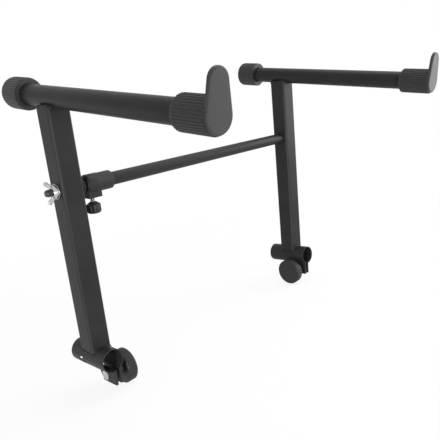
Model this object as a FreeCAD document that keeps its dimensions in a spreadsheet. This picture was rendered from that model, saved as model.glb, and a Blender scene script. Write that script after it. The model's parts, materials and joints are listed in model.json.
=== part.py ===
import FreeCAD, Part
import math
import os
import re
import Sketcher

# Add-on second tier for an X-type keyboard stand.
# Millimetres. X runs across the tier, +Y to the rear, +Z up. The origin is on the bore axis
# of the left clamp sleeve, under the middle of the left upright.
# The left frame stands at x = 0 and the right frame at x = frame_spacing.

SIZES = {
    # support arms
    "arm_diameter": 22.2,
    "arm_wall": 1.5,
    "arm_tilt": 10.7,
    "arm_height": 297,
    "arm_seat": 10,
    "arm_rear_reach": 71.5,
    "arm_front_reach": 229,
    # uprights
    "upright_width": 25.4,
    "upright_wall": 1.5,
    "upright_corner": 3,
    "upright_lean": 4.3,
    "foot_rise": 8.8,
    "weld_gap": 0.1,
    "cut_past": 1,
    # clamp sleeves
    "sleeve_bore": 25.6,
    "sleeve_wall": 1.2,
    "sleeve_rear": 35.3,
    "sleeve_front": 32.6,
    "lock_hole": 12.5,
    "lock_hole_inset": 22.5,
    "lock_hole_dip": 22,
    "slit_width": 4,
    "slit_length": 36.8,
    "ear_wall": 2.8,
    "ear_offset": 4,
    "ear_drop": 31.5,
    "ear_heel": 9,
    "ear_toe": 2,
    "ear_root": 5,
    # clamp screws
    "clamp_thread": 8,
    "clamp_bolt_back": 21.1,
    "clamp_bolt_drop": 23.1,
    "bolt_head_width": 12,
    "bolt_head_rise": 3.6,
    "bolt_head_crown": 1.2,
    "bolt_crown_width": 7.4,
    "bolt_end_gap": 1,
    "bolt_hole_play": 0.6,
    "thread_play": 0.05,
    "washer_wall": 1.6,
    "washer_width": 14,
    "nut_across_flats": 13,
    "nut_length": 6.5,
    "knob_width": 41,
    "knob_rim": 13,
    "knob_hub_width": 15,
    "knob_hub_length": 7.6,
    "knob_hub_taper": 1,
    "knob_edge": 1.5,
    "knob_cover": 3,
    "knob_dome": 1,
    "nut_inset": 2,
    "knob_flutes": 30,
    "knob_flute": 1.1,
    "knob_flute_out": 0.28,
    # rear caps
    "cap_width": 35,
    "cap_overlap": 26,
    "cap_end_wall": 4.5,
    "cap_edge": 2.5,
    "cap_chamfer": 0.8,
    "rib_count": 36,
    "rib_groove": 1,
    "rib_groove_out": 0.1,
    "cap_play": 0.05,
    # lip caps
    "lip_width": 30.2,
    "lip_overlap": 31.2,
    "lip_end_wall": 4.5,
    "lip_wall": 3.5,
    "lip_edge": 1.6,
    "lip_height": 35.2,
    "lip_top_width": 20.8,
    "lip_root_width": 27.8,
    # crossbar
    "bar_height": 200.4,
    "bar_diameter": 15.4,
    "bar_wall": 1.3,
    "tube_inset": 1,
    "rod_play": 0.3,
    "rod_wall": 1.5,
    "rod_overlap_end": 25,
    "guide_length": 14,
    "guide_head": 6,
    "guide_play": 0.08,
    "frame_spacing": 395,
    "flange_width": 22,
    "flange_wall": 3,
    "plug_length": 20,
    "stud_thread": 8,
    "stud_stand": 13,
    "stud_edge": 1,
    "stud_washer_width": 17,
    "wing_nut_base": 15.5,
    "wing_nut_body": 4.5,
    "wing_nut_span": 25,
    "wing_nut_height": 10.5,
    "wing_root": 7.8,
    "wing_wall": 2.4,
    "wing_blade": 4,
    "wing_nut_seat": 2,
    "wing_nut_turn": -8,
    # width collar and thumbscrew
    "collar_gap": 7.5,
    "collar_block": 17,
    "collar_block_width": 22,
    "collar_edge": 2.2,
    "collar_sleeve": 18.5,
    "collar_sleeve_width": 21.2,
    "boss_drop": 15.5,
    "boss_width": 14,
    "screw_thread": 5,
    "screw_back": 7.5,
    "screw_nut_across_flats": 8,
    "screw_nut_length": 4,
    "screw_nut_gap": 0.8,
    "screw_hole_play": 0.3,
    "screw_neck": 4.8,
    "screw_depth": 8,
    "screw_head_width": 16.2,
    "screw_head_length": 13,
    "screw_head_crown": 3.3,
    "screw_head_flutes": 8,
    "screw_head_flute": 2.2,
    "screw_flute_out": 1.1,
    "pad_length": 2,
    "pad_width": 4,
    "pad_gap": 0.05,
}

START, END, CENTRE = 1, 2, 3
ORIGIN_POINT = (-1, 1)
SKETCH_AXIS = {"X": -1, "Y": -2}
TINY = 1e-6
TINY_EDGE = 1e-3

doc = FreeCAD.newDocument("keyboard_stand_tier")
sheet = doc.addObject("Spreadsheet::Sheet", "Sizes")
for row, (alias, size) in enumerate(SIZES.items(), start=1):
    sheet.set(f"A{row}", alias)
    sheet.set(f"B{row}", str(size))
    sheet.setAlias(f"B{row}", alias)
doc.recompute()


# ---------------------------------------------------------------- sizes worked out from the sheet
ARM_RADIUS = "(arm_diameter / 2)"
SLEEVE_RADIUS = "(sleeve_bore / 2 + sleeve_wall)"
UPRIGHT_HALF = "(upright_width / 2)"
THROUGH_UPRIGHT = "(upright_width * 2)"
EAR_FACE = "(slit_width / 2 + ear_wall)"
SLIT_END = "(slit_length - sleeve_front)"
CLAMP_BOLT_Y = "(clamp_bolt_back - sleeve_front)"
WASHER_FACE = f"({EAR_FACE} + washer_wall)"
KNOB_FACE = f"({WASHER_FACE} + knob_hub_length + knob_rim)"
KNOB_BORE_END = f"({KNOB_FACE} - knob_cover)"
BOLT_END = f"({KNOB_BORE_END} - bolt_end_gap)"
ROD_RADIUS = "(bar_diameter / 2 - bar_wall - rod_play)"
ROD_START = f"({UPRIGHT_HALF} + flange_wall)"
COLLAR_START = f"({UPRIGHT_HALF} + collar_gap)"
COLLAR_STEP = f"({COLLAR_START} + collar_block)"
COLLAR_END = f"({COLLAR_STEP} + collar_sleeve)"
BAR_END = f"(frame_spacing - {UPRIGHT_HALF} - weld_gap)"
TUBE_START = f"({COLLAR_START} + tube_inset)"
PLUG_END = f"({ROD_START} + plug_length)"
SCREW_X = f"({COLLAR_START} + screw_back)"
STUD_SEAT = f"({UPRIGHT_HALF} + washer_wall)"
STUD_END = f"(-{UPRIGHT_HALF} - stud_stand)"
ROD_END = "(frame_spacing - rod_overlap_end - upright_width)"
GUIDE_STEM = f"({ROD_RADIUS} - rod_wall - cap_play)"
GUIDE_HEAD = "(bar_diameter / 2 - bar_wall - guide_play)"
PAD_TOP = f"({ROD_RADIUS} + pad_gap)"
SHANK_TOP = f"({PAD_TOP} + pad_length)"
SCREW_NUT_TOP = "(bar_diameter / 2 + screw_nut_gap)"
SCREW_HEAD_TOP = "(boss_drop + screw_neck)"


def tied(formula):
    """The formula with each name of a size pointed at its cell of the sheet."""
    return re.sub(r"[a-z_]+", lambda word: f"Sizes.{word.group(0)}" if word.group(0) in SIZES
                  else word.group(0), formula)


def value(formula):
    """The number that a formula gives with the sheet as it is."""
    result = sheet.evalExpression(tied(formula))
    return float(getattr(result, "Value", result))


# ---------------------------------------------------------------- sketches
def new_body(label):
    body = doc.addObject("PartDesign::Body", label)
    body.Label = label
    return body


def place(body, x="0", y="0", z="0"):
    """Puts a body level, at x, y, z."""
    level = "rotation(vector(1; 0; 0); 0)"
    body.setExpression("Placement", tied(f"placement(vector({x}; {y}; {z}); {level})"))


def place_leaning(body, x="0", rise="0", tilt="upright_lean"):
    """Puts a body at x, rise up the leaning uprights, turned by tilt degrees about X."""
    spot = f"vector({x}; -({rise}) * sin(upright_lean * 1deg); {rise} * cos(upright_lean * 1deg))"
    body.setExpression("Placement", tied(f"placement({spot}; rotation(vector(1; 0; 0); {tilt}))"))


def origin_part(body, role):
    return next(item for item in body.Origin.OriginFeatures if item.Role == role)


def new_sketch(body, role, name, offset="0"):
    sketch = body.newObject("Sketcher::SketchObject", f"{body.Label}_{name}")
    sketch.AttachmentSupport = [(origin_part(body, role), "")]
    sketch.MapMode = "FlatFace"
    sketch.setExpression("AttachmentOffset.Base.z", tied(offset))
    return sketch


def tie_point(sketch, edge, point, across, along):
    """Holds one point of the sketch at two formulas, measured from the sketch's origin."""
    for kind, formula, other in (("DistanceX", across, "Y"), ("DistanceY", along, "X")):
        if formula == "0":
            sketch.addConstraint(Sketcher.Constraint("PointOnObject", edge, point, SKETCH_AXIS[other]))
        else:
            rule = Sketcher.Constraint(kind, *ORIGIN_POINT, edge, point, value(formula))
            tie_rule(sketch, sketch.addConstraint(rule), f"{kind}{edge}_{point}", formula)


def tie_rule(sketch, number, name, formula):
    sketch.renameConstraint(number, name)
    sketch.setExpression(f"Constraints.{name}", tied(formula))


def add_polygon(sketch, corners):
    """Draws a closed outline of straight sides, its corners given as pairs of formulas."""
    first = sketch.GeometryCount
    count = len(corners)
    spots = [FreeCAD.Vector(value(across), value(along), 0) for across, along in corners]
    for number in range(count):
        sketch.addGeometry(Part.LineSegment(spots[number], spots[(number + 1) % count]), False)
    for number in range(count):
        after = first + (number + 1) % count
        sketch.addConstraint(Sketcher.Constraint("Coincident", first + number, END, after, START))
    for number, (across, along) in enumerate(corners):
        tie_point(sketch, first + number, START, across, along)


def add_circle(sketch, radius, across="0", along="0"):
    number = sketch.GeometryCount
    centre = FreeCAD.Vector(value(across), value(along), 0)
    sketch.addGeometry(Part.Circle(centre, FreeCAD.Vector(0, 0, 1), value(radius)), False)
    rule = sketch.addConstraint(Sketcher.Constraint("Radius", number, value(radius)))
    tie_rule(sketch, rule, f"Radius{number}", radius)
    tie_point(sketch, number, CENTRE, across, along)


def add_square(sketch, half):
    add_polygon(sketch, [(f"-{half}", f"-{half}"), (half, f"-{half}"), (half, half), (f"-{half}", half)])


def add_hexagon(sketch, across_flats, across="0", along="0"):
    """A hexagon with two flats square to the sketch's upright axis."""
    reach = f"({across_flats} / sqrt(3))"
    flat = f"({across_flats} / 2)"
    offsets = [(f"{reach}", "0"), (f"{reach} / 2", flat), (f"-{reach} / 2", flat),
               (f"-{reach}", "0"), (f"-{reach} / 2", f"-{flat}"), (f"{reach} / 2", f"-{flat}")]
    add_polygon(sketch, [(f"{across} + {right}", f"{along} + {up}") for right, up in offsets])


# ---------------------------------------------------------------- features
def pad(body, sketch, length, midplane=False, reverse=False):
    return extrude(body, "PartDesign::Pad", sketch, length, midplane, reverse)


def pocket(body, sketch, length, midplane=False, reverse=False):
    """Cuts the sketch's outline out of the body, and makes sure that something was cut."""
    before = body.Shape.Volume
    cut = extrude(body, "PartDesign::Pocket", sketch, length, midplane, reverse)
    if body.Shape.Volume > before - TINY:
        raise RuntimeError(f"{cut.Name} cuts nothing")
    return cut


def extrude(body, kind, sketch, length, midplane, reverse):
    feature = body.newObject(kind, f"{sketch.Name}_{kind.split('::')[1].lower()}")
    feature.Profile = sketch
    feature.Midplane = midplane
    feature.Reversed = reverse
    feature.setExpression("Length", tied(length))
    doc.recompute()
    return feature


def spin(body, sketch, axis, kind="PartDesign::Revolution"):
    feature = body.newObject(kind, f"{sketch.Name}_turned")
    feature.Profile = sketch
    feature.ReferenceAxis = (sketch, [axis])
    feature.Angle = 360
    doc.recompute()
    return feature


def repeat_round(body, feature, role, count):
    """Repeats a feature evenly round one of the body's axes."""
    pattern = body.newObject("PartDesign::PolarPattern", f"{feature.Name}_round")
    pattern.Originals = [feature]
    pattern.Axis = (origin_part(body, role), [""])
    pattern.Angle = 360
    pattern.setExpression("Occurrences", tied(count))
    body.Tip = pattern
    doc.recompute()
    return pattern


def soften(body, base, radius, wanted):
    """Rounds the edges of a feature for which wanted(edge) is true."""
    numbered = enumerate(base.Shape.Edges, start=1)
    names = [f"Edge{number}" for number, edge in numbered if wanted(edge)]
    rounded = body.newObject("PartDesign::Fillet", f"{base.Name}_soft")
    rounded.Base = (base, names)
    rounded.setExpression("Radius", tied(radius))
    doc.recompute()
    return rounded


# A turned piece is a closed outline of (along, radius) pairs, spun about X, Y or Z.
TURNING = {"X": ("XY_Plane", "H_Axis"), "Y": ("XY_Plane", "V_Axis"), "Z": ("XZ_Plane", "V_Axis")}


def add_turned(body, axis, profile, name="profile", kind="PartDesign::Revolution"):
    plane, spin_axis = TURNING[axis]
    sketch = new_sketch(body, plane, name)
    pairs = [(along, radius) if axis == "X" else (radius, along) for along, radius in profile]
    add_polygon(sketch, pairs)
    return spin(body, sketch, spin_axis, kind)


def turned(label, axis, profile):
    body = new_body(label)
    add_turned(body, axis, profile)
    return body


def ring_profile(start, end, inner, outer):
    return [(start, inner), (end, inner), (end, outer), (start, outer)]


# ---------------------------------------------------------------- welded frames
def support_arm(side, x):
    """Round tube. Its own Y axis runs along the arm, from the crossing with the upright."""
    body = turned(f"{side}_support_arm", "Y", ring_profile(
        "-arm_front_reach", "arm_rear_reach", f"{ARM_RADIUS} - arm_wall", ARM_RADIUS))
    place_leaning(body, x, "arm_height", "arm_tilt")


def upright(side, x):
    """Square tube, cut straight and coped over the sleeve below and under the arm above."""
    body = new_body(f"{side}_upright")
    section = new_sketch(body, "XY_Plane", "section", offset="foot_rise")
    add_square(section, UPRIGHT_HALF)
    tube = pad(body, section, "arm_height - arm_seat - foot_rise")
    tube = soften(body, tube, "upright_corner", lambda edge: is_upright_edge(edge, UPRIGHT_HALF))
    hollow = new_sketch(body, "XY_Plane", "hollow")
    add_square(hollow, f"({UPRIGHT_HALF} - upright_wall)")
    pocket(body, hollow, "arm_height", reverse=True)
    cope(body, "foot", "0", "(-upright_lean)", f"{SLEEVE_RADIUS} + weld_gap")
    cope(body, "head", "arm_height", "(arm_tilt - upright_lean)", f"{ARM_RADIUS} + weld_gap")
    if side == "left":
        hole = new_sketch(body, "YZ_Plane", "stud_hole")
        add_circle(hole, "stud_thread / 2 + thread_play", along="bar_height")
        pocket(body, hole, THROUGH_UPRIGHT, midplane=True)
    place_leaning(body, x)


def is_upright_edge(edge, half):
    low, high = edge.BoundBox.ZMin, edge.BoundBox.ZMax
    return high - low > value(half)


def cope(body, name, height, tilt, radius):
    """Cuts the round seat of a tube that crosses the upright along Y."""
    seat = body.newObject("PartDesign::SubtractiveCylinder", f"{body.Label}_{name}")
    seat.setExpression("Radius", tied(radius))
    seat.setExpression("Height", tied(f"{THROUGH_UPRIGHT} * 2"))
    turn = f"rotation(vector(1; 0; 0); {tilt} - 90)"
    back, down = f"{THROUGH_UPRIGHT} * cos({tilt} * 1deg)", f"{THROUGH_UPRIGHT} * sin({tilt} * 1deg)"
    spot = f"vector(0; -{back}; {height} - {down})"
    seat.setExpression("Placement", tied(f"placement({spot}; {turn})"))
    doc.recompute()


def clamp_sleeve(side, x, inward):
    """Round sleeve, slit along its front half, with two ears for the pinch bolt.

    The slit and the ears stand a little inward of the sleeve's middle.
    """
    body = new_body(f"{side}_clamp_sleeve")
    add_turned(body, "Y", ring_profile("-sleeve_front", "sleeve_rear", "0", SLEEVE_RADIUS), "barrel")
    aside = f"{inward} * ear_offset"
    ears = new_sketch(body, "YZ_Plane", "ears", offset=aside)
    root = "(sleeve_bore / 2 - ear_root)"
    add_polygon(ears, [("-sleeve_front", f"-{root}"), (SLIT_END, f"-{root}"),
                       (f"{SLIT_END} - ear_heel", "-ear_drop"), ("ear_toe - sleeve_front", "-ear_drop")])
    pad(body, ears, f"{EAR_FACE} * 2", midplane=True)
    add_turned(body, "Y", ring_profile("-sleeve_front - cut_past", "sleeve_rear + cut_past", "0",
                                       "sleeve_bore / 2"), "bore", "PartDesign::Groove")
    slit = new_sketch(body, "YZ_Plane", "slit", offset=aside)
    add_polygon(slit, [
        ("-sleeve_front - cut_past", "0"), (SLIT_END, "0"), (SLIT_END, "-ear_drop - cut_past"),
        ("-sleeve_front - cut_past", "-ear_drop - cut_past")])
    pocket(body, slit, "slit_width", midplane=True)
    hole = new_sketch(body, "YZ_Plane", "bolt_hole", offset=aside)
    add_circle(hole, "clamp_thread / 2 + bolt_hole_play", CLAMP_BOLT_Y, "-clamp_bolt_drop")
    pocket(body, hole, f"{EAR_FACE} * 4", midplane=True)
    lock = body.newObject("PartDesign::SubtractiveCylinder", f"{body.Label}_lock_hole")
    lock.setExpression("Radius", tied("lock_hole / 2"))
    lock.setExpression("Height", tied("sleeve_bore"))
    outward = f"rotation(vector(0; 1; 0); {-inward} * (90 + lock_hole_dip))"
    spot = "vector(0; sleeve_rear - lock_hole_inset; 0)"
    lock.setExpression("Placement", tied(f"placement({spot}; {outward})"))
    doc.recompute()
    place(body, x)


# ---------------------------------------------------------------- clamp screws
def clamp_screw(side, x, inward):
    """Carriage bolt, washer, knob and the knob's nut, in a row along X towards the crossbar."""
    def at(formula):
        return formula if inward > 0 else f"-({formula})"

    head = f"-{EAR_FACE} - bolt_head_rise"
    bolt = turned(f"{side}_clamp_bolt", "X", [
        (at(head), "0"), (at(f"{head} + bolt_head_crown"), "bolt_crown_width / 2"),
        (at(f"-{EAR_FACE} - bolt_head_crown"), "bolt_head_width / 2"),
        (at(f"-{EAR_FACE}"), "bolt_head_width / 2"), (at(f"-{EAR_FACE}"), "clamp_thread / 2"),
        (at(BOLT_END), "clamp_thread / 2"), (at(BOLT_END), "0")])
    washer = turned(f"{side}_clamp_washer", "X", ring_profile(
        at(EAR_FACE), at(WASHER_FACE), "clamp_thread / 2 + bolt_hole_play", "washer_width / 2"))
    nut_start = f"({WASHER_FACE} + knob_hub_length - nut_inset)"
    nut_end = f"({nut_start} + nut_length)"
    nut = hex_nut(f"{side}_knob_nut", at(nut_start), at(nut_end), "nut_across_flats",
                  "clamp_thread / 2 + thread_play")
    knob = clamp_knob(side, at, nut_start, nut_end)
    for body in (bolt, washer, nut, knob):
        place(body, f"{x} + {inward} * ear_offset", CLAMP_BOLT_Y, "-clamp_bolt_drop")


def hex_nut(label, start, end, across_flats, bore):
    body = new_body(label)
    outline = new_sketch(body, "YZ_Plane", "outline", offset=low_of(start, end))
    add_hexagon(outline, across_flats)
    add_circle(outline, bore)
    pad(body, outline, length_of(start, end))
    return body


def low_of(start, end):
    return start if value(start) < value(end) else end


def length_of(start, end):
    return f"abs({start} - {end})"


def clamp_knob(side, at, nut_start, nut_end):
    """Hub and fluted rim, hollowed for the bolt and the nut."""
    body = new_body(f"{side}_clamp_knob")
    rim_start = f"({WASHER_FACE} + knob_hub_length)"
    edge = "knob_edge"
    add_turned(body, "X", [
        (at(WASHER_FACE), "0"), (at(WASHER_FACE), "knob_hub_width / 2"),
        (at(rim_start), "knob_hub_width / 2 + knob_hub_taper"), (at(rim_start), f"knob_width / 2 - {edge}"),
        (at(f"{rim_start} + {edge}"), "knob_width / 2"), (at(f"{KNOB_FACE} - {edge}"), "knob_width / 2"),
        (at(KNOB_FACE), f"knob_width / 2 - {edge}"), (at(f"{KNOB_FACE} + knob_dome"), "0")])
    flute = new_sketch(body, "YZ_Plane", "flute", offset=low_of(at(rim_start), at(KNOB_FACE)))
    add_circle(flute, "knob_flute", along="knob_width / 2 + knob_flute_out")
    cut = pocket(body, flute, length_of(rim_start, KNOB_FACE), reverse=True)
    repeat_round(body, cut, "X_Axis", "knob_flutes")
    bore = ring_profile(at(f"{WASHER_FACE} - cut_past"), at(KNOB_BORE_END), "0",
                        "clamp_thread / 2 + bolt_hole_play")
    add_turned(body, "X", bore, "bore", "PartDesign::Groove")
    seat = new_sketch(body, "YZ_Plane", "nut_seat", offset=low_of(at(nut_start), at(nut_end)))
    add_hexagon(seat, "(nut_across_flats + cap_play)")
    pocket(body, seat, length_of(nut_start, nut_end), reverse=True)
    return body


# ---------------------------------------------------------------- end caps
def ribbed(body, width, start, end):
    """Cuts the grip grooves along a cap, from start to end on its own Y axis."""
    groove = new_sketch(body, "XZ_Plane", "rib_groove", offset=f"-({end})")
    add_circle(groove, "rib_groove", along=f"{width} / 2 + rib_groove_out")
    cut = pocket(body, groove, length_of(start, end), reverse=True)
    return repeat_round(body, cut, "Y_Axis", "rib_count")


def rear_cap(side, x):
    """Closed ribbed cap, pushed over the arm's rear end."""
    body = new_body(f"{side}_rear_cap")
    mouth = "(arm_rear_reach - cap_overlap)"
    back = "(arm_rear_reach + cap_end_wall)"
    inside = f"({ARM_RADIUS} + cap_play)"
    add_turned(body, "Y", [
        (mouth, inside), (mouth, "cap_width / 2 - cap_chamfer"), (f"{mouth} + cap_chamfer", "cap_width / 2"),
        (f"{back} - cap_edge", "cap_width / 2"), (f"{back} - cap_chamfer", "cap_width / 2 - cap_chamfer"),
        (back, "cap_width / 2 - cap_edge"), (back, "0"), ("arm_rear_reach", "0"), ("arm_rear_reach", inside)])
    ribbed(body, "cap_width", mouth, back)
    place_leaning(body, x, "arm_height", "arm_tilt")


def lip_cap(side, x):
    """Ribbed barrel over the arm's front end, closed by an upright tongue."""
    body = new_body(f"{side}_lip_cap")
    mouth = "(lip_overlap - arm_front_reach)"
    floor = "(-arm_front_reach)"
    shoulder = f"({floor} - lip_end_wall)"
    inside = f"({ARM_RADIUS} + cap_play)"
    add_turned(body, "Y", [
        (mouth, inside), (mouth, "lip_width / 2 - cap_chamfer"), (f"{mouth} - cap_chamfer", "lip_width / 2"),
        (shoulder, "lip_width / 2"), (shoulder, "0"), (floor, "0"), (floor, inside)], "barrel")
    ribbed(body, "lip_width", shoulder, mouth)
    tongue = new_sketch(body, "XZ_Plane", "tongue", offset=f"-({shoulder})")
    add_tongue(tongue)
    plate = pad(body, tongue, "lip_wall")
    face = value(f"{shoulder} - lip_wall")
    soften(body, plate, "lip_edge", lambda edge: abs(edge.BoundBox.YMax - face) < TINY_EDGE)
    place_leaning(body, x, "arm_height", "arm_tilt")


def add_tongue(sketch):
    """Upright tongue: a wide round foot about the arm's axis, straight sides, a narrower round top."""
    foot, head = "(lip_root_width / 2)", "(lip_top_width / 2)"
    rise = f"(lip_height - {head})"
    lean = math.asin((value(foot) - value(head)) / value(rise))
    spots = {}
    for name, radius, height in (("foot", value(foot), 0), ("head", value(head), value(rise))):
        for sign in (1, -1):
            across, along = radius * math.cos(lean), radius * math.sin(lean)
            spots[name, sign] = FreeCAD.Vector(sign * across, height + along, 0)
    up = FreeCAD.Vector(0, 0, 1)
    low_circle = Part.Circle(FreeCAD.Vector(0, 0, 0), up, value(foot))
    high_circle = Part.Circle(FreeCAD.Vector(0, value(rise), 0), up, value(head))
    sketch.addGeometry(Part.ArcOfCircle(low_circle, math.pi - lean, math.tau + lean), False)
    sketch.addGeometry(Part.LineSegment(spots["foot", 1], spots["head", 1]), False)
    sketch.addGeometry(Part.ArcOfCircle(high_circle, lean, math.pi - lean), False)
    sketch.addGeometry(Part.LineSegment(spots["head", -1], spots["foot", -1]), False)
    low_arc, right_side, high_arc, left_side = range(4)
    ring = (low_arc, right_side, high_arc, left_side)
    for one, other in zip(ring, ring[1:] + ring[:1]):
        sketch.addConstraint(Sketcher.Constraint("Tangent", one, END, other, START))
    for arc, radius, height in ((low_arc, foot, "0"), (high_arc, head, rise)):
        rule = sketch.addConstraint(Sketcher.Constraint("Radius", arc, value(radius)))
        tie_rule(sketch, rule, f"Radius{arc}", radius)
        tie_point(sketch, arc, CENTRE, "0", height)


# ---------------------------------------------------------------- crossbar
def crossbar():
    """Outer tube, inner rod and what holds the rod to the left upright. All lie along X."""
    tube = turned("outer_tube", "X", ring_profile(
        TUBE_START, BAR_END, "bar_diameter / 2 - bar_wall", "bar_diameter / 2"))
    drill_down(tube, "screw_hole", "screw_thread / 2 + screw_hole_play", "bar_diameter")
    pieces = [
        tube,
        turned("inner_rod", "X", ring_profile(ROD_START, ROD_END, f"{ROD_RADIUS} - rod_wall", ROD_RADIUS)),
        turned("rod_plug", "X", ring_profile(
            ROD_START, PLUG_END, "stud_thread / 2 + thread_play", GUIDE_STEM)),
        turned("rod_flange", "X", ring_profile(
            UPRIGHT_HALF, ROD_START, "stud_thread / 2 + thread_play", "flange_width / 2")),
        turned("rod_guide", "X", [
            (f"{ROD_END} - guide_length", "0"), (f"{ROD_END} - guide_length", GUIDE_STEM),
            (ROD_END, GUIDE_STEM), (ROD_END, GUIDE_HEAD),
            (f"{ROD_END} + guide_head", GUIDE_HEAD), (f"{ROD_END} + guide_head", "0")]),
        turned("crossbar_stud", "X", [
            (STUD_END, "0"), (STUD_END, "stud_thread / 2 - stud_edge"),
            (f"{STUD_END} + stud_edge", "stud_thread / 2"),
            (PLUG_END, "stud_thread / 2"), (PLUG_END, "0")]),
        turned("stud_washer", "X", ring_profile(
            f"-{STUD_SEAT}", f"-{UPRIGHT_HALF}", "stud_thread / 2 + thread_play", "stud_washer_width / 2")),
    ]
    for body in pieces:
        place_leaning(body, "0", "bar_height")


def drill_down(body, name, radius, depth):
    """Cuts a round hole under the thumbscrew's place, down from the crossbar's axis."""
    hole = new_sketch(body, "XY_Plane", name)
    add_circle(hole, radius, SCREW_X)
    pocket(body, hole, depth)


def wing_nut():
    """Round base with two upright wings."""
    body = new_body("wing_nut")
    seat = f"(-{STUD_SEAT})"
    collar = f"({seat} - wing_nut_seat)"
    top = f"({seat} - wing_nut_body)"
    tip = f"({seat} - wing_nut_height)"
    add_turned(body, "X", [
        (seat, "0"), (seat, "wing_nut_base / 2"), (collar, "wing_nut_base / 2"),
        (top, "wing_nut_base / 2 - wing_nut_seat"), (top, "0")], "base")
    wings = new_sketch(body, "XZ_Plane", "wings")
    add_polygon(wings, [
        (collar, "wing_root / 2"), (collar, "wing_nut_base / 2 - wing_nut_seat / 2"),
        (f"{tip} + wing_wall", "wing_nut_span / 2"), (tip, "wing_nut_span / 2 - wing_wall / 2"),
        (tip, "wing_nut_span / 2 - wing_blade"), (top, "wing_root / 2")])
    wing = pad(body, wings, "wing_wall", midplane=True)
    repeat_round(body, wing, "X_Axis", "2")
    add_turned(body, "X", ring_profile(f"{seat} + wing_wall", f"{tip} - wing_wall", "0",
                                       "stud_thread / 2 + thread_play"), "bore", "PartDesign::Groove")
    place_leaning(body, "0", "bar_height", "upright_lean + wing_nut_turn")


def width_collar():
    """Plastic collar on the outer tube, with a boss below for the thumbscrew and its nut."""
    body = new_body("width_collar")
    add_turned(body, "X", [
        (COLLAR_START, "0"), (COLLAR_START, "collar_block_width / 2 - collar_edge"),
        (f"{COLLAR_START} + collar_edge", "collar_block_width / 2"),
        (COLLAR_STEP, "collar_block_width / 2"), (COLLAR_STEP, "collar_sleeve_width / 2"),
        (f"{COLLAR_END} - collar_edge", "collar_sleeve_width / 2"),
        (COLLAR_END, "collar_sleeve_width / 2 - collar_edge"), (COLLAR_END, "0")], "outside")
    boss = new_sketch(body, "YZ_Plane", "boss", offset=COLLAR_START)
    add_polygon(boss, [("-boss_width / 2", "0"), ("-boss_width / 2", "-boss_drop"),
                       ("boss_width / 2", "-boss_drop"), ("boss_width / 2", "0")])
    pad(body, boss, "collar_block")
    add_turned(body, "X", ring_profile(f"{COLLAR_START} - tube_inset", f"{COLLAR_END} + tube_inset", "0",
                                       "bar_diameter / 2 + cap_play"), "bore", "PartDesign::Groove")
    drill_down(body, "screw_hole", "screw_thread / 2 + screw_hole_play", "boss_drop * 2")
    seat = new_sketch(body, "XY_Plane", "nut_seat", offset=f"-{SCREW_NUT_TOP}")
    add_hexagon(seat, "(screw_nut_across_flats + cap_play)", SCREW_X)
    pocket(body, seat, "screw_nut_length")
    place_leaning(body, "0", "bar_height")


def thumbscrew():
    """Head, shank and pressure pad of the width lock, and the nut it turns in. All lie along Z."""
    bore = "screw_thread / 2 + thread_play"
    nut = new_body("collar_nut")
    outline = new_sketch(nut, "XY_Plane", "outline", offset=f"-{SCREW_NUT_TOP}")
    add_hexagon(outline, "screw_nut_across_flats")
    add_circle(outline, bore)
    pad(nut, outline, "screw_nut_length", reverse=True)
    shank_end = f"({SCREW_HEAD_TOP} + screw_depth)"
    head_end = f"({SCREW_HEAD_TOP} + screw_head_length)"
    pad_piece = turned("thumbscrew_pad", "Z", ring_profile(
        f"-{SHANK_TOP}", f"-{PAD_TOP}", "0", "pad_width / 2"))
    shank = turned("thumbscrew_shank", "Z", ring_profile(
        f"-{shank_end}", f"-{SHANK_TOP}", "0", "screw_thread / 2"))
    head = turned("thumbscrew_head", "Z", [
        (f"-{SCREW_HEAD_TOP}", "0"), (f"-{SCREW_HEAD_TOP}", "screw_thread / 2 + knob_edge / 2"),
        (f"-{SCREW_HEAD_TOP} - screw_head_crown", "screw_head_width / 2"),
        (f"knob_edge - {head_end}", "screw_head_width / 2"),
        (f"-{head_end}", "screw_head_width / 2 - knob_edge"), (f"-{head_end}", "0")])
    flute = new_sketch(head, "XY_Plane", "flute", offset=f"-{head_end}")
    add_circle(flute, "screw_head_flute", "screw_head_width / 2 + screw_flute_out")
    cut = pocket(head, flute, "screw_head_length", reverse=True)
    repeat_round(head, cut, "Z_Axis", "screw_head_flutes")
    add_turned(head, "Z", ring_profile(f"-{shank_end}", f"screw_thread - {SCREW_HEAD_TOP}", "0", bore),
               "bore", "PartDesign::Groove")
    for body in (nut, pad_piece, shank, head):
        place_leaning(body, SCREW_X, "bar_height")


os.makedirs("parts", exist_ok=True)
for side, x, inward in (("left", "0", 1), ("right", "frame_spacing", -1)):
    support_arm(side, x)
    upright(side, x)
    clamp_sleeve(side, x, inward)
    clamp_screw(side, x, inward)
    rear_cap(side, x)
    lip_cap(side, x)
crossbar()
wing_nut()
width_collar()
thumbscrew()
doc.recompute()

sub_parts = [item for item in doc.Objects if item.TypeId == "PartDesign::Body"]
for item in doc.Objects:
    if {"Invalid", "Error"} & set(item.State):
        raise RuntimeError(f"{item.Label} failed: {item.State}")
for body in sub_parts:
    if body.Shape.isNull() or not body.Shape.isValid():
        raise RuntimeError(f"{body.Label} has no valid shape")
    body.Shape.exportStep(f"parts/{body.Label}.step")
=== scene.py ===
import json
import math

import bmesh
import bpy
from mathutils import Matrix, Vector

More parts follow.
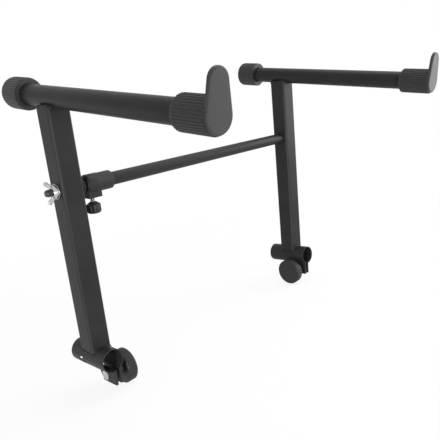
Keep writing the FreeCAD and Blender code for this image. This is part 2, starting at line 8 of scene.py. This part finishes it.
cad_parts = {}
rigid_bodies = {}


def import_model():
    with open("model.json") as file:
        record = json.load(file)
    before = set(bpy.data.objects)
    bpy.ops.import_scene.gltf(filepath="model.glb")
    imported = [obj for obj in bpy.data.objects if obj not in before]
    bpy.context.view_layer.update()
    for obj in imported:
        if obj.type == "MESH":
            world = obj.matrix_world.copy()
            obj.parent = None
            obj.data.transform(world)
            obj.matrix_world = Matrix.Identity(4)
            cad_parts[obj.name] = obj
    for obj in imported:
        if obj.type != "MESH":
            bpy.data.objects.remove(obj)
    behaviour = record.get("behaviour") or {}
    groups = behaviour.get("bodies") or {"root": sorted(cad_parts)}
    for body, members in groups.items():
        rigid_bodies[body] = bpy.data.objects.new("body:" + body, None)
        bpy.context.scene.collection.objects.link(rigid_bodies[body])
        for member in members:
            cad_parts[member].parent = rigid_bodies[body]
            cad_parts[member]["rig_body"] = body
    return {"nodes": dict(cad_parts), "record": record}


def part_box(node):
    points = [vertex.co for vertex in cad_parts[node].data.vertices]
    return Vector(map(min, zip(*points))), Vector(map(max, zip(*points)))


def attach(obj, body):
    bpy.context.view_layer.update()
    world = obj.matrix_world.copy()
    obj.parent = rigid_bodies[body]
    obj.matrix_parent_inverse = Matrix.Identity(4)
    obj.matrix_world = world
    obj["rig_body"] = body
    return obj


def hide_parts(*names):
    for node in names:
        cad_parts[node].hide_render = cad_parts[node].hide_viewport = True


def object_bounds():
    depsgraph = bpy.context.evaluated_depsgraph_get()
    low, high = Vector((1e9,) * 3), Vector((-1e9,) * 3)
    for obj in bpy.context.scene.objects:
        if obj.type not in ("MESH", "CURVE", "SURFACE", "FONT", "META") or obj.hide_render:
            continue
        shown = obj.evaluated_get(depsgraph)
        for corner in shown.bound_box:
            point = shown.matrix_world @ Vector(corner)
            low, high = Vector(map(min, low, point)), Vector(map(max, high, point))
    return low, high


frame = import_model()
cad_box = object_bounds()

# Add-on second tier for an X-type keyboard stand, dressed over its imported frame.
# Metres. X runs across the tier, +Y to the rear, +Z up.

MM = 0.001

# the frames, as the CAD has them
LEAN = math.radians(4.3)
TILT = math.radians(10.7)
SPACING = 395 * MM
UPRIGHT_HALF = 12.7 * MM
UPRIGHT_CORNER = 3 * MM
SLEEVE_RADIUS = 14 * MM
ARM_RADIUS = 11.1 * MM
ARM_RISE = 297 * MM
ARM_SEAT = 10 * MM
FOOT_RISE = 8.8 * MM
BAR_RISE = 200.4 * MM
BAR_RADIUS = 7.7 * MM

# weld beads
FOOT_BEAD = 2.0 * MM
FOOT_RIPPLE = 0.1
HEAD_BEAD = 3.0 * MM
HEAD_BEAD_INSET = 0.6 * MM
TUBE_BEAD = 2.8 * MM
TUBE_BEAD_OUTSET = 0.3 * MM
TUBE_BEAD_POINTS = 40
# beside the arm the head bead grows over this range of the distance from the middle
BESIDE_FROM = 7 * MM
BESIDE_RANGE = 4 * MM
BESIDE_INWARD = 1.9 * MM
BESIDE_LIFT = 0.4 * MM
BESIDE_SWELL = 0.8

# screws
ROD_SIDES = 36
STEPS_PER_TURN = 28
THREAD_DEPTH = 0.56
CREST_START = 0.44
CREST_END = 0.56
ROOT_SINK = 0.05 * MM
THREAD_SMOOTH = 30
STUD_RADIUS = 4 * MM
STUD_PITCH = 1.25 * MM
STUD_TURNS = 9
STUD_THREAD = 13.4 * MM
LOCK_X = 27.7 * MM
LOCK_DROP = 8.1 * MM
LOCK_LENGTH = 20.1 * MM
LOCK_RADIUS = 2.5 * MM
LOCK_PITCH = 0.8 * MM
LOCK_TURNS = 15
LOCK_PLAIN = 1 * MM

# studio
FLOOR_MIDDLE = 0.2
FLOOR_SIZE = 6
FLOOR_GAP = 0.3 * MM

FRAMES = {"left": ("left_frame", 0.0), "right": ("right_frame", SPACING)}
ACROSS = Vector((1, 0, 0))
UP_THE_FRAME = Vector((0, -math.sin(LEAN), math.cos(LEAN)))
BACK_ACROSS = Vector((0, math.cos(LEAN), math.sin(LEAN)))


def on_frame(x, back, rise):
    """A place by its distances across, back from and up the line of the uprights."""
    return ACROSS * x + BACK_ACROSS * back + UP_THE_FRAME * rise


# ---------------------------------------------------------------- shader helpers
def feed(tree, socket, given):
    """Links an output to a socket, or writes a number or a colour there."""
    if isinstance(given, tuple):
        socket.default_value = (*given, 1.0)
    elif isinstance(given, (int, float)):
        socket.default_value = given
    else:
        tree.links.new(given, socket)


def new_group(name, inputs, outputs):
    """An empty shader group; inputs are (name, number) pairs, outputs (name, socket) pairs."""
    group = bpy.data.node_groups.new(name, "ShaderNodeTree")
    for title, start in inputs:
        socket = group.interface.new_socket(
            title, in_out="INPUT", socket_type="NodeSocketFloat")
        socket.default_value = start
    for title, kind in outputs:
        group.interface.new_socket(title, in_out="OUTPUT", socket_type=kind)
    source = group.nodes.new("NodeGroupInput")
    result = group.nodes.new("NodeGroupOutput")
    return group, source.outputs, result.inputs


def math_node(tree, operation, first, second=0.0):
    node = tree.nodes.new("ShaderNodeMath")
    node.operation = operation
    for socket, given in zip(node.inputs, (first, second)):
        feed(tree, socket, given)
    return node.outputs[0]


def noise_node(tree, scale, detail, roughness=0.5, stretch=None):
    """Noise on Object coordinates, stretched along the axes where that is asked for."""
    place = tree.nodes.new("ShaderNodeTexCoord").outputs["Object"]
    if stretch:
        mapping = tree.nodes.new("ShaderNodeMapping")
        mapping.inputs["Scale"].default_value = stretch
        tree.links.new(place, mapping.inputs["Vector"])
        place = mapping.outputs["Vector"]
    noise = tree.nodes.new("ShaderNodeTexNoise")
    noise.inputs["Detail"].default_value = detail
    noise.inputs["Roughness"].default_value = roughness
    tree.links.new(place, noise.inputs["Vector"])
    feed(tree, noise.inputs["Scale"], scale)
    return noise.outputs["Fac"]


def range_node(tree, value, low, high, start=0.0, end=1.0):
    """Turns the values from low to high into start to end, and holds them there beyond."""
    node = tree.nodes.new("ShaderNodeMapRange")
    for socket, given in zip(node.inputs, (value, low, high, start, end)):
        feed(tree, socket, given)
    return node.outputs["Result"]


def facing_node(tree):
    """The parts of the piece's own surface direction, along X, Y and Z."""
    split = tree.nodes.new("ShaderNodeSeparateXYZ")
    facing = tree.nodes.new("ShaderNodeTexCoord").outputs["Normal"]
    tree.links.new(facing, split.inputs[0])
    return split.outputs


# ---------------------------------------------------------------- shared effects
def grain_group():
    """Fine pebbled skin of a powder coat or a moulded face, with a slower wave under it."""
    group, given, result = new_group(
        "surface_grain",
        [("Grain Scale", 900.0), ("Wave Scale", 90.0), ("Wave Share", 0.3)],
        [("Height", "NodeSocketFloat")])
    fine = noise_node(group, given["Grain Scale"], detail=2.0)
    wave = noise_node(group, given["Wave Scale"], detail=1.0)
    waved = math_node(group, "MULTIPLY", wave, given["Wave Share"])
    group.links.new(math_node(group, "ADD", fine, waved), result["Height"])
    return group


def handling_group():
    """Soft patches polished or dulled by hands and cloths, and a few faint rubs."""
    group, given, result = new_group(
        "handling_marks",
        [("Patch Scale", 14.0), ("Rub Scale", 60.0)],
        [("Patches", "NodeSocketFloat"), ("Rubs", "NodeSocketFloat")])
    patches = noise_node(group, given["Patch Scale"], detail=4.0, roughness=0.6)
    group.links.new(range_node(group, patches, low=0.35, high=0.68), result["Patches"])
    rubs = noise_node(
        group, given["Rub Scale"], detail=5.0, roughness=0.7, stretch=(1.0, 7.0, 2.0))
    group.links.new(range_node(group, rubs, low=0.62, high=0.78), result["Rubs"])
    return group


def edge_group():
    """Rounded look of the edges, a mask of where they are rubbed, and a mask of painted shade in
    the hollows.
    """
    group, given, result = new_group(
        "edge_rub",
        [("Edge Radius", 0.5 * MM), ("Speckle Scale", 420.0), ("Painted Shade Reach", 2 * MM)],
        [("Normal", "NodeSocketVector"), ("Mask", "NodeSocketFloat"),
         ("Painted Shade", "NodeSocketFloat")])
    # painted shade: ambient occlusion becomes a mask that darkens the colour in hollows and grooves
    shade = group.nodes.new("ShaderNodeAmbientOcclusion")
    shade.samples = 8
    group.links.new(given["Painted Shade Reach"], shade.inputs["Distance"])
    painted_shade = range_node(group, shade.outputs["AO"], low=0.9, high=0.35)
    group.links.new(painted_shade, result["Painted Shade"])
    bevel = group.nodes.new("ShaderNodeBevel")
    bevel.samples = 6
    group.links.new(given["Edge Radius"], bevel.inputs["Radius"])
    flat = group.nodes.new("ShaderNodeNewGeometry")
    dot = group.nodes.new("ShaderNodeVectorMath")
    dot.operation = "DOT_PRODUCT"
    group.links.new(bevel.outputs["Normal"], dot.inputs[0])
    group.links.new(flat.outputs["Normal"], dot.inputs[1])
    turned = range_node(group, dot.outputs["Value"], low=0.98, high=0.86)
    speckle = noise_node(group, given["Speckle Scale"], detail=3.0, roughness=0.6)
    broken = range_node(group, speckle, low=0.42, high=0.62)
    group.links.new(math_node(group, "MULTIPLY", turned, broken), result["Mask"])
    group.links.new(bevel.outputs["Normal"], result["Normal"])
    return group


def dust_group():
    """Thin dust that lies on what faces up."""
    group, given, result = new_group(
        "settled_dust", [("Dust Scale", 130.0)], [("Mask", "NodeSocketFloat")])
    up = range_node(group, facing_node(group)["Z"], low=0.35, high=1.0)
    specks = noise_node(group, given["Dust Scale"], detail=6.0, roughness=0.65)
    lying = range_node(group, specks, low=0.45, high=0.8)
    group.links.new(math_node(group, "MULTIPLY", up, lying), result["Mask"])
    return group


def corner_highlight_group():
    """Painted highlight along the rounded corners of the square tubes, in uneven lengths."""
    group, given, result = new_group(
        "corner_painted_highlight", [("Length Scale", 9.0)], [("Mask", "NodeSocketFloat")])
    facing = facing_node(group)
    both = math_node(group, "MULTIPLY", facing["X"], facing["Y"])
    corner = range_node(group, math_node(group, "ABSOLUTE", both), low=0.3, high=0.48)
    lengths = noise_node(group, given["Length Scale"], detail=2.0)
    patchy = range_node(group, lengths, low=0.4, high=0.6, start=0.25)
    group.links.new(math_node(group, "MULTIPLY", corner, patchy), result["Mask"])
    return group


GRAIN = grain_group()
HANDLING = handling_group()
EDGES = edge_group()
DUST = dust_group()
CORNER_HIGHLIGHTS = corner_highlight_group()


# ---------------------------------------------------------------- finishes
# near-black colour of the painted shade laid into hollows and grooves
PAINTED_SHADE_COLOUR = (0.002, 0.002, 0.002)
DUST_COLOUR = (0.34, 0.33, 0.31)
DUST_ROUGHNESS = 0.3
FAINT_RUB = 0.25


def group_node(tree, group, **values):
    """A group placed in a material; values name its inputs with _ for a space."""
    node = tree.nodes.new("ShaderNodeGroup")
    node.node_tree = group
    for title, value in values.items():
        node.inputs[title.replace("_", " ")].default_value = value
    return node.outputs


def mix_colour(tree, mask, first, second):
    """The first colour where the mask is 0, the second where it is 1."""
    node = tree.nodes.new("ShaderNodeMix")
    node.data_type = "RGBA"
    tree.links.new(mask, node.inputs["Factor"])
    feed(tree, node.inputs[6], first)
    feed(tree, node.inputs[7], second)
    return node.outputs[2]


def finish(name, colour, patch_colour, rub_colour, roughness, dull, grain_scale, grain_depth,
           wave_scale, edge_radius, speckle, rub, dust, metallic=0.0, specular=0.5,
           corner=0.0, painted_shade=0.0):
    """A finish: colour with patches, rubbed edges, dust, painted shade in hollows, a painted corner
    highlight, a grained skin and uneven gloss.

    dull is how much rougher the patches are; rub, dust, the painted corner highlight and the
    painted shade in the hollows are strengths.
    """
    material = bpy.data.materials.new(name)
    material.use_nodes = True
    tree = material.node_tree
    shader = tree.nodes["Principled BSDF"]
    shader.inputs["Metallic"].default_value = metallic
    shader.inputs["Specular IOR Level"].default_value = specular
    marks = group_node(tree, HANDLING)
    edges = group_node(tree, EDGES, Edge_Radius=edge_radius, Speckle_Scale=speckle)
    skin = group_node(tree, GRAIN, Grain_Scale=grain_scale, Wave_Scale=wave_scale)
    settled = group_node(tree, DUST)

    coloured = mix_colour(tree, marks["Patches"], colour, patch_colour)
    worn = math_node(tree, "MULTIPLY", edges["Mask"], rub)
    faint = math_node(tree, "MULTIPLY", marks["Rubs"], rub * FAINT_RUB)
    coloured = mix_colour(tree, math_node(tree, "MAXIMUM", worn, faint), coloured, rub_colour)
    # painted shade: hollows and grooves darkened towards near black
    if painted_shade:
        shade_share = math_node(tree, "MULTIPLY", edges["Painted Shade"], painted_shade)
        coloured = mix_colour(tree, shade_share, coloured, PAINTED_SHADE_COLOUR)
    # painted highlight: the tube corners lightened towards the rub colour
    if corner:
        painted_highlight_share = math_node(tree, "MULTIPLY", group_node(tree, CORNER_HIGHLIGHTS)["Mask"], corner)
        coloured = mix_colour(tree, painted_highlight_share, coloured, rub_colour)
    dusty = math_node(tree, "MULTIPLY", settled["Mask"], dust)
    coloured = mix_colour(tree, dusty, coloured, DUST_COLOUR)
    tree.links.new(coloured, shader.inputs["Base Color"])

    uneven = range_node(
        tree, marks["Patches"], low=0.0, high=1.0, start=roughness, end=roughness + dull)
    dusted = math_node(tree, "ADD", uneven, math_node(tree, "MULTIPLY", dusty, DUST_ROUGHNESS))
    tree.links.new(dusted, shader.inputs["Roughness"])

    bump = tree.nodes.new("ShaderNodeBump")
    bump.inputs["Strength"].default_value = 1.0
    bump.inputs["Distance"].default_value = grain_depth
    tree.links.new(skin["Height"], bump.inputs["Height"])
    tree.links.new(edges["Normal"], bump.inputs["Normal"])
    tree.links.new(bump.outputs["Normal"], shader.inputs["Normal"])
    return material


SATIN_COAT = dict(
    colour=(0.016, 0.016, 0.017), patch_colour=(0.022, 0.022, 0.023),
    rub_colour=(0.09, 0.09, 0.092), roughness=0.36, dull=0.1, grain_scale=1500.0,
    grain_depth=0.02 * MM, wave_scale=160.0, edge_radius=0.5 * MM, speckle=420.0,
    rub=0.35, dust=0.03, specular=0.11)
POWDER_COAT = finish("black_powder_coat", **SATIN_COAT)
# the same powder coat with a painted highlight along its tube corners
HIGHLIGHTED_UPRIGHT_COAT = finish("upright_coat_painted_highlight", **SATIN_COAT, corner=0.3)
WELD_COAT = finish(
    "coated_weld", colour=(0.012, 0.012, 0.013), patch_colour=(0.018, 0.018, 0.019),
    rub_colour=(0.09, 0.09, 0.09), roughness=0.34, dull=0.1, grain_scale=800.0,
    grain_depth=0.05 * MM, wave_scale=300.0, edge_radius=0.3 * MM, speckle=500.0,
    rub=0.3, dust=0.02, specular=0.12, painted_shade=0.5)
CAP_PLASTIC = finish(
    "cap_plastic", colour=(0.022, 0.022, 0.023), patch_colour=(0.034, 0.034, 0.036),
    rub_colour=(0.12, 0.12, 0.12), roughness=0.46, dull=0.16, grain_scale=2200.0,
    grain_depth=0.03 * MM, wave_scale=240.0, edge_radius=0.4 * MM, speckle=600.0,
    rub=0.3, dust=0.06, specular=0.38, painted_shade=0.85)
KNOB_PLASTIC = finish(
    "knob_plastic", colour=(0.013, 0.013, 0.014), patch_colour=(0.018, 0.018, 0.019),
    rub_colour=(0.1, 0.1, 0.1), roughness=0.42, dull=0.1, grain_scale=1800.0,
    grain_depth=0.02 * MM, wave_scale=200.0, edge_radius=0.4 * MM, speckle=600.0,
    rub=0.3, dust=0.04, specular=0.22, painted_shade=0.7)
COLLAR_PLASTIC = finish(
    "collar_plastic", colour=(0.013, 0.013, 0.014), patch_colour=(0.018, 0.018, 0.019),
    rub_colour=(0.09, 0.09, 0.09), roughness=0.46, dull=0.1, grain_scale=1800.0,
    grain_depth=0.02 * MM, wave_scale=200.0, edge_radius=0.4 * MM, speckle=600.0,
    rub=0.25, dust=0.03, specular=0.18, painted_shade=0.7)
NYLON = finish(
    "natural_nylon", colour=(0.68, 0.67, 0.62), patch_colour=(0.6, 0.59, 0.54),
    rub_colour=(0.75, 0.74, 0.7), roughness=0.45, dull=0.12, grain_scale=1400.0,
    grain_depth=0.02 * MM, wave_scale=180.0, edge_radius=0.3 * MM, speckle=600.0,
    rub=0.2, dust=0.02)
BRIGHT_ZINC = finish(
    "bright_zinc", colour=(0.5, 0.51, 0.53), patch_colour=(0.4, 0.41, 0.44),
    rub_colour=(0.66, 0.66, 0.66), roughness=0.2, dull=0.16, grain_scale=2600.0,
    grain_depth=0.012 * MM, wave_scale=420.0, edge_radius=0.4 * MM, speckle=500.0,
    rub=0.5, dust=0.02, metallic=1.0, painted_shade=0.8)
BLACK_OXIDE = finish(
    "black_oxide", colour=(0.03, 0.029, 0.029), patch_colour=(0.042, 0.04, 0.038),
    rub_colour=(0.22, 0.21, 0.2), roughness=0.34, dull=0.14, grain_scale=2200.0,
    grain_depth=0.012 * MM, wave_scale=300.0, edge_radius=0.3 * MM, speckle=500.0,
    rub=0.5, dust=0.02, metallic=0.35)
PLAIN_STEEL = finish(
    "plain_steel", colour=(0.5, 0.5, 0.5), patch_colour=(0.4, 0.395, 0.385),
    rub_colour=(0.66, 0.66, 0.66), roughness=0.3, dull=0.16, grain_scale=2000.0,
    grain_depth=0.012 * MM, wave_scale=260.0, edge_radius=0.3 * MM, speckle=500.0,
    rub=0.5, dust=0.02, metallic=1.0)

FINISH_OF_SLOT = {
    "black_steel": POWDER_COAT, "cap_plastic": CAP_PLASTIC, "knob_plastic": KNOB_PLASTIC,
    "guide_plastic": NYLON, "bright_zinc": BRIGHT_ZINC, "black_screw": BLACK_OXIDE,
    "plain_steel": PLAIN_STEEL}
SLOT_OF_NODE = {part["node"]: part["material_slot"] for part in frame["record"]["subparts"]}

for node, thing in frame["nodes"].items():
    thing.data.materials.clear()
    coat = HIGHLIGHTED_UPRIGHT_COAT if node.endswith("upright") else FINISH_OF_SLOT[SLOT_OF_NODE[node]]
    thing.data.materials.append(coat)


# ---------------------------------------------------------------- making pieces
def add_object(name, data):
    thing = bpy.data.objects.new(name, data)
    bpy.context.scene.collection.objects.link(thing)
    return thing


def piece_from(bm, name, material, body, smooth):
    """A finished piece from a bmesh, riding on its body; smooth is in degrees."""
    mesh = bpy.data.meshes.new(name)
    bm.to_mesh(mesh)
    bm.free()
    for face in mesh.polygons:
        face.use_smooth = True
    mesh.set_sharp_from_angle(angle=math.radians(smooth))
    mesh.materials.append(material)
    thing = add_object(name, mesh)
    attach(thing, body)
    return thing


def softened(node, width, segments=2, angle=32, material=None):
    """A copy of a node with its sharp edges rounded; it stands for the node."""
    source = frame["nodes"][node]
    bm = bmesh.new()
    bm.from_mesh(source.data)
    bmesh.ops.remove_doubles(bm, verts=bm.verts, dist=1e-6)
    slot = SLOT_OF_NODE[node]
    coat = material or FINISH_OF_SLOT[slot]
    thing = piece_from(bm, f"soft_{node}", coat, source["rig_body"], angle)
    edge = thing.modifiers.new("edge", "BEVEL")
    edge.width = width
    edge.segments = segments
    edge.limit_method = "ANGLE"
    edge.angle_limit = math.radians(angle)
    edge.harden_normals = True
    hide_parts(node)


# ---------------------------------------------------------------- weld beads
def tube_outline(half, corner, side_steps=14, corner_steps=5):
    """Points round a square tube's section, as (across, back) pairs."""
    points = []
    flat = half - corner
    for turn in range(4):
        spin = Matrix.Rotation(turn * math.pi / 2, 2)
        for step in range(side_steps):
            points.append(spin @ Vector((half, flat * (2 * step / side_steps - 1))))
        for step in range(corner_steps):
            angle = math.pi / 2 * step / corner_steps
            reach = Vector((flat + corner * math.cos(angle), flat + corner * math.sin(angle)))
            points.append(spin @ reach)
    return points


def foot_seam(point):
    """Height up the upright at which a point of its outline meets the sleeve."""
    level = math.sqrt(max(SLEEVE_RADIUS ** 2 - point.x ** 2, 0))
    return max((level - point.y * math.sin(LEAN)) / math.cos(LEAN), FOOT_RISE)


def head_seam(point):
    """Height up the upright at which a point of its outline meets the arm."""
    slope = TILT - LEAN
    under = math.sqrt(max(ARM_RADIUS ** 2 - point.x ** 2, 0))
    seat = ARM_RISE + (point.y * math.sin(slope) - under) / math.cos(slope)
    return min(seat, ARM_RISE - ARM_SEAT)


def weld_bead(name, points, width, body, ripple=0.16, swell=None):
    """A closed bead along points, swelling and narrowing as the puddles lie.

    ripple is the share by which it does so from point to point, and swell gives each
    point a width of its own, as a share of width.
    """
    drift, drift_step = 0.1, 0.7
    curve = bpy.data.curves.new(name, "CURVE")
    curve.dimensions = "3D"
    curve.bevel_depth = width / 2
    curve.bevel_resolution = 3
    curve.resolution_u = 2
    spline = curve.splines.new("NURBS")
    spline.points.add(len(points) - 1)
    for number, (target, spot) in enumerate(zip(spline.points, points)):
        target.co = (*spot, 1.0)
        puddle = ripple if number % 2 else -ripple
        wave = puddle + drift * math.sin(number * drift_step)
        target.radius = (swell[number] if swell else 1) + wave
    spline.use_cyclic_u = True
    spline.order_u = 3
    curve.materials.append(WELD_COAT)
    thing = add_object(name, curve)
    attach(thing, body)


def head_bead(x):
    """The head bead's points and widths; beside the arm it fills the space up to the tube."""
    places, widths = [], []
    for point in tube_outline(UPRIGHT_HALF - HEAD_BEAD_INSET, UPRIGHT_CORNER):
        beside = min(max((abs(point.x) - BESIDE_FROM) / BESIDE_RANGE, 0), 1)
        inward = math.copysign(BESIDE_INWARD * beside, point.x)
        rise = head_seam(point) + BESIDE_LIFT * beside
        places.append(on_frame(x + point.x - inward, point.y, rise))
        widths.append(1 + BESIDE_SWELL * beside)
    return places, widths


for side, (body, x) in FRAMES.items():
    foot = [on_frame(x + point.x, point.y, foot_seam(point))
            for point in tube_outline(UPRIGHT_HALF, UPRIGHT_CORNER)]
    weld_bead(f"{side}_foot_weld", foot, FOOT_BEAD, body, ripple=FOOT_RIPPLE)
    head, swell = head_bead(x)
    weld_bead(f"{side}_head_weld", head, HEAD_BEAD, body, swell=swell)

ring_radius = BAR_RADIUS + TUBE_BEAD_OUTSET
ring_turns = [step * math.tau / TUBE_BEAD_POINTS for step in range(TUBE_BEAD_POINTS)]
ring = [on_frame(SPACING - UPRIGHT_HALF, ring_radius * math.sin(turn),
                 BAR_RISE + ring_radius * math.cos(turn)) for turn in ring_turns]
weld_bead("tube_weld", ring, TUBE_BEAD, "right_frame")


# ---------------------------------------------------------------- screws with real threads
def threaded_rod(name, node, start, direction, length, radius, pitch, turns, thread_from):
    """A rod from start along direction, its far end chamfered.

    Its thread starts at thread_from along it and goes round the given number of turns.
    """
    depth = pitch * THREAD_DEPTH
    core = radius - depth
    bm = bmesh.new()
    made = bmesh.ops.create_cone(
        bm, cap_ends=True, segments=ROD_SIDES, radius1=core, radius2=core, depth=length)
    bmesh.ops.translate(bm, verts=made["verts"], vec=(0, 0, length / 2))
    rim = [edge for edge in bm.edges
           if all(abs(v.co.z - length) < 1e-7 for v in edge.verts) and len(edge.link_faces) == 2]
    bmesh.ops.bevel(
        bm, geom=rim, offset=depth, segments=2, profile=0.5, affect="EDGES", material=-1)
    root = core - ROOT_SINK
    corners = [(root, 0), (radius, pitch * CREST_START), (radius, pitch * CREST_END),
               (root, pitch)]
    section = bm.faces.new([bm.verts.new((out, 0, along + thread_from)) for out, along in corners])
    bmesh.ops.spin(
        bm, geom=[section, *section.edges, *section.verts], cent=(0, 0, 0), axis=(0, 0, 1),
        dvec=(0, 0, pitch / STEPS_PER_TURN), angle=math.tau * turns,
        steps=int(STEPS_PER_TURN * turns), use_merge=False, use_duplicate=False)
    open_edges = [edge for edge in bm.edges if len(edge.link_faces) == 1]
    if open_edges:
        bmesh.ops.holes_fill(bm, edges=open_edges, sides=0)
    bmesh.ops.recalc_face_normals(bm, faces=bm.faces)
    turn = Vector((0, 0, 1)).rotation_difference(direction).to_matrix().to_4x4()
    bmesh.ops.transform(bm, matrix=Matrix.Translation(start) @ turn, verts=bm.verts)
    slot = SLOT_OF_NODE[node]
    body = frame["nodes"][node]["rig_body"]
    thing = piece_from(bm, name, FINISH_OF_SLOT[slot], body, THREAD_SMOOTH)
    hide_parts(node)


stud_low, stud_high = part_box("crossbar_stud")
stud_length = stud_high.x - stud_low.x
threaded_rod(
    "threaded_stud", "crossbar_stud", start=on_frame(stud_high.x, 0, BAR_RISE),
    direction=-ACROSS, length=stud_length, radius=STUD_RADIUS, pitch=STUD_PITCH,
    turns=STUD_TURNS, thread_from=stud_length - STUD_THREAD)
threaded_rod(
    "threaded_lock_screw", "thumbscrew_shank", start=on_frame(LOCK_X, 0, BAR_RISE - LOCK_DROP),
    direction=-UP_THE_FRAME, length=LOCK_LENGTH, radius=LOCK_RADIUS, pitch=LOCK_PITCH,
    turns=LOCK_TURNS, thread_from=LOCK_PLAIN)


# ---------------------------------------------------------------- softened mouldings and fittings
for side in FRAMES:
    softened(f"{side}_clamp_knob", 0.35 * MM)
    softened(f"{side}_clamp_washer", 0.25 * MM)
softened("width_collar", 0.5 * MM, material=COLLAR_PLASTIC)
softened("thumbscrew_head", 0.5 * MM)
softened("wing_nut", 0.6 * MM, segments=3)
softened("stud_washer", 0.3 * MM)
softened("rod_flange", 0.4 * MM)


# ---------------------------------------------------------------- studio
def background_ray(tree):
    """1 where a ray comes straight from the camera, off gloss or through glass, else 0."""
    path = tree.nodes.new("ShaderNodeLightPath")
    shiny = math_node(tree, "MAXIMUM", path.outputs["Is Camera Ray"], path.outputs["Is Glossy Ray"])
    return math_node(tree, "MAXIMUM", shiny, path.outputs["Is Transmission Ray"])


def share_shaders(tree, share, first, second, result):
    """Shows the first shader where share is 0 and the second where it is 1."""
    mixed = tree.nodes.new("ShaderNodeMixShader")
    for socket, given in zip(mixed.inputs, (share, first, second)):
        tree.links.new(given, socket)
    tree.links.new(mixed.outputs[0], result)


def studio_floor():
    """A pale floor with the object's shadow, which clears to white away from it."""
    bm = bmesh.new()
    bmesh.ops.create_grid(bm, x_segments=2, y_segments=2, size=FLOOR_SIZE)
    bmesh.ops.translate(
        bm, verts=bm.verts, vec=(FLOOR_MIDDLE, 0, cad_box[0][2] - FLOOR_GAP))
    mesh = bpy.data.meshes.new("floor")
    bm.to_mesh(mesh)
    bm.free()
    material = bpy.data.materials.new("pale_floor")
    material.use_nodes = True
    tree = material.node_tree
    shader = tree.nodes["Principled BSDF"]
    shader.inputs["Base Color"].default_value = (0.86, 0.86, 0.86, 1)
    shader.inputs["Roughness"].default_value = 0.9
    glow = tree.nodes.new("ShaderNodeEmission")
    glow.inputs["Color"].default_value = (1, 1, 1, 1)
    away = tree.nodes.new("ShaderNodeVectorMath")
    away.operation = "DISTANCE"
    away.inputs[1].default_value = (FLOOR_MIDDLE, 0, cad_box[0][2])
    tree.links.new(tree.nodes.new("ShaderNodeTexCoord").outputs["Object"], away.inputs[0])
    clear = range_node(
        tree, away.outputs["Value"], low=0.25, high=0.85, start=0.88, end=1.0)
    share_shaders(
        tree, math_node(tree, "MULTIPLY", background_ray(tree), clear),
        shader.outputs[0], glow.outputs[0], tree.nodes["Material Output"].inputs["Surface"])
    mesh.materials.append(material)
    add_object("floor", mesh)


def studio_world():
    """Soft light from all round, behind which the background shows white."""
    world = bpy.data.worlds.new("studio")
    bpy.context.scene.world = world
    world.use_nodes = True
    tree = world.node_tree
    soft = tree.nodes["Background"]
    soft.inputs["Color"].default_value = (0.97, 0.98, 1.0, 1)
    soft.inputs["Strength"].default_value = 0.55
    white = tree.nodes.new("ShaderNodeBackground")
    white.inputs["Color"].default_value = (1, 1, 1, 1)
    share_shaders(
        tree, background_ray(tree), soft.outputs[0], white.outputs[0],
        tree.nodes["World Output"].inputs["Surface"])


def lamp(name, place, target, size, power, spread=180):
    """A rectangular lamp in watts, aimed at target, its beam spread over so many degrees."""
    light = bpy.data.lights.new(name, "AREA")
    light.shape = "RECTANGLE"
    light.size, light.size_y = size
    light.energy = power
    light.spread = math.radians(spread)
    thing = add_object(name, light)
    thing.location = place
    aim = Vector(target) - Vector(place)
    thing.rotation_euler = aim.to_track_quat("-Z", "Y").to_euler()


def camera(place, lens, round_from_front, down, roll):
    """A camera at place; its three angles are in degrees."""
    view = bpy.data.cameras.new("camera")
    view.sensor_width = 36
    view.lens = lens
    view.clip_start = 0.01
    thing = add_object("camera", view)
    thing.matrix_world = (
        Matrix.Translation(place)
        @ Matrix.Rotation(math.radians(-round_from_front), 4, "Z")
        @ Matrix.Rotation(math.radians(90 - down), 4, "X")
        @ Matrix.Rotation(math.radians(-roll), 4, "Z"))
    bpy.context.scene.camera = thing


studio_floor()
studio_world()
lamp("top_softbox", place=(0.7, -0.2, 1.3), target=(0.35, 0, 0.2), size=(1.2, 1.2), power=9)
lamp("right_softbox", place=(1.5, -0.7, 0.5), target=(0.2, -0.03, 0.15), size=(0.9, 1.2),
     power=17)
lamp("rear_softbox", place=(-1.0, 1.2, 0.0), target=(0, 0, 0.05), size=(0.9, 0.5), power=1)
lamp("front_softbox", place=(-0.1, -1.1, 0.02), target=(0.2, 0, -0.05), size=(0.5, 0.3),
     power=1.7, spread=70)
lamp("left_strip", place=(-0.8, -0.41, 0.0), target=(0, 0, -0.03), size=(0.1, 0.2),
     power=0.8, spread=60)
camera(place=(-0.257906, -0.500116, 0.255972), lens=40.086, round_from_front=44.5865,
       down=12.3618, roll=8.7717)
bpy.context.scene.view_settings.view_transform = "Standard"
